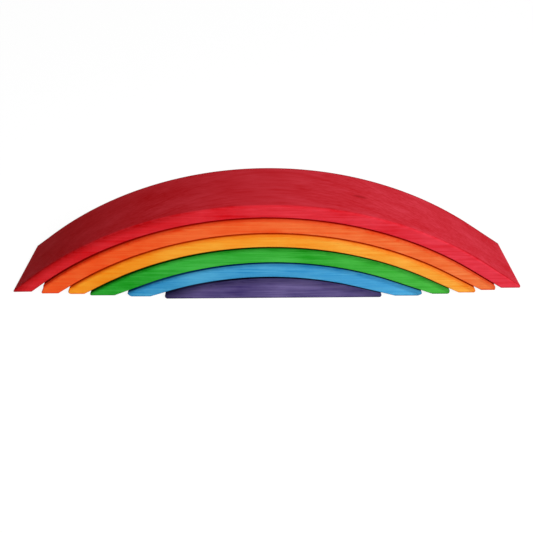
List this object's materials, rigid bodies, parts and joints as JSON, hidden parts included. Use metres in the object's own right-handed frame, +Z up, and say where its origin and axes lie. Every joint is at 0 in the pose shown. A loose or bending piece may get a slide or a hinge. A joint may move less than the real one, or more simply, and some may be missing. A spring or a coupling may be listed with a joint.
{
  "type": "rainbow stacker",
  "caption": "Low wooden rainbow: stained curved arches that nest inside each other over a solid base segment and lift off one by one.",
  "frame": {"origin": "on the table, under the middle of the whole nest's bounding box", "axes": "+Z up, +X along the arches from left foot to right foot as seen from the front, and the front faces -Y"},
  "size_m": [0.43, 0.0838, 0.0808],
  "materials": {
    "red_stain": "matt water stain on sanded wood",
    "orange_stain": "matt water stain on sanded wood",
    "amber_stain": "matt water stain on sanded wood",
    "green_stain": "matt water stain on sanded wood",
    "blue_stain": "matt water stain on sanded wood",
    "purple_stain": "matt water stain on sanded wood"
  },
  "bodies": {
    "base": {"purple_base": "purple_stain"},
    "blue": {"blue_arch": "blue_stain"},
    "green": {"green_arch": "green_stain"},
    "amber": {"amber_arch": "amber_stain"},
    "orange": {"orange_arch": "orange_stain"},
    "red": {"red_arch": "red_stain"}
  },
  "joints": [
    {"name": "blue_lift", "type": "slide", "parent": "base", "child": "blue", "axis": [0, 0, 1], "range_m": [0, 0.03]},
    {"name": "green_lift", "type": "slide", "parent": "blue", "child": "green", "axis": [0, 0, 1], "range_m": [0, 0.042]},
    {"name": "amber_lift", "type": "slide", "parent": "green", "child": "amber", "axis": [0, 0, 1], "range_m": [0, 0.054]},
    {"name": "orange_lift", "type": "slide", "parent": "amber", "child": "orange", "axis": [0, 0, 1], "range_m": [0, 0.066]},
    {"name": "red_lift", "type": "slide", "parent": "orange", "child": "red", "axis": [0, 0, 1], "range_m": [0, 0.078]}
  ]
}
